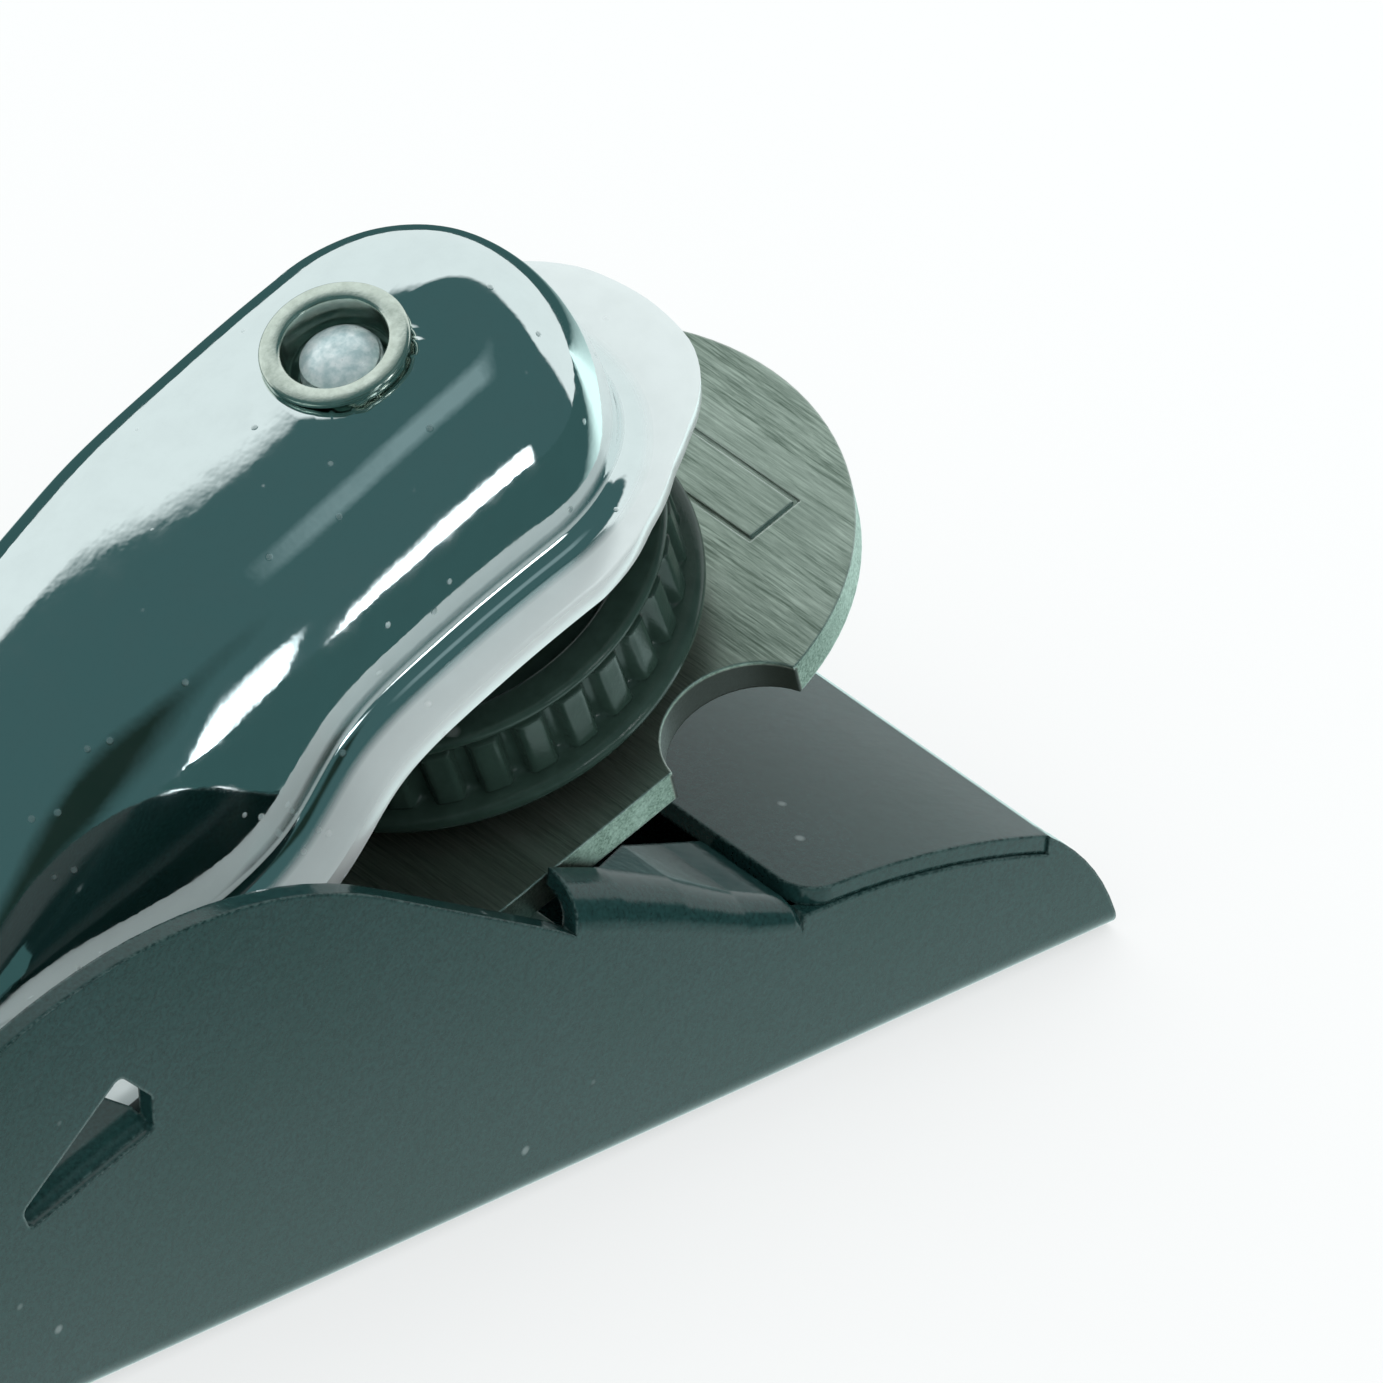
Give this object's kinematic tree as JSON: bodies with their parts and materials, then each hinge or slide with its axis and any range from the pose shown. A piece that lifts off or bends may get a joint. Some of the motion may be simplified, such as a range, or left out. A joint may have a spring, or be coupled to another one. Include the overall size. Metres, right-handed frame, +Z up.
{
  "type": "block plane",
  "caption": "Pressed-steel block plane with humped cheeks, domed lever cap over a clamp wheel, and a front knob.",
  "frame": {"origin": "underside of the sole, at the middle of the plane's length and width", "axes": "+X along the sole from the toe to the heel, +Y across the sole, +Z up"},
  "size_m": [0.149, 0.041, 0.0489],
  "materials": {
    "enamel": "gloss black stoved enamel",
    "iron_steel": "fine ground tool steel",
    "cap_chrome": "polished chrome plate",
    "bush_nickel": "bright nickel plate",
    "fixing_zinc": "bright zinc plate",
    "bed_zinc": "dull zinc plate",
    "wheel_gloss": "gloss black moulding",
    "knob_gloss": "gloss black moulding"
  },
  "bodies": {
    "root": {"body_shell": "enamel", "heel_rest": "enamel", "toe_rest": "enamel", "blade_bed": "bed_zinc", "bed_rivets": "fixing_zinc", "front_knob": "knob_gloss", "knob_screw": "fixing_zinc", "knob_washer": "fixing_zinc", "knob_lock_washer": "fixing_zinc", "knob_nut": "fixing_zinc"},
    "iron": {"blade": "iron_steel"},
    "cap": {"lever_cap": "cap_chrome", "cap_bush": "bush_nickel"},
    "foot": {"pressure_foot": "fixing_zinc"},
    "wheel": {"clamp_screw": "fixing_zinc", "screw_tip": "fixing_zinc", "clamp_wheel": "wheel_gloss"}
  },
  "joints": [
    {"name": "iron_slide", "type": "slide", "parent": "root", "child": "iron", "axis": [0.9397, 0, 0.342], "range_m": [-0.0003, 0.02]},
    {"name": "cap_slide", "type": "slide", "parent": "root", "child": "cap", "axis": [0.9397, 0, 0.342], "range_m": [0, 0.014]},
    {"name": "foot_lift", "type": "slide", "parent": "cap", "child": "foot", "axis": [-0.4226, 0, 0.9063], "range_m": [0, 0.002]},
    {"name": "wheel_turn", "type": "hinge", "parent": "foot", "child": "wheel", "pos_m": [0.03917, 0, 0.02252], "axis": [-0.4226, 0, 0.9063], "range_deg": [0, 900]}
  ],
  "couplings": [
    {"joint": "wheel_turn", "follows": "foot_lift", "rad_per_m": 7854}
  ]
}
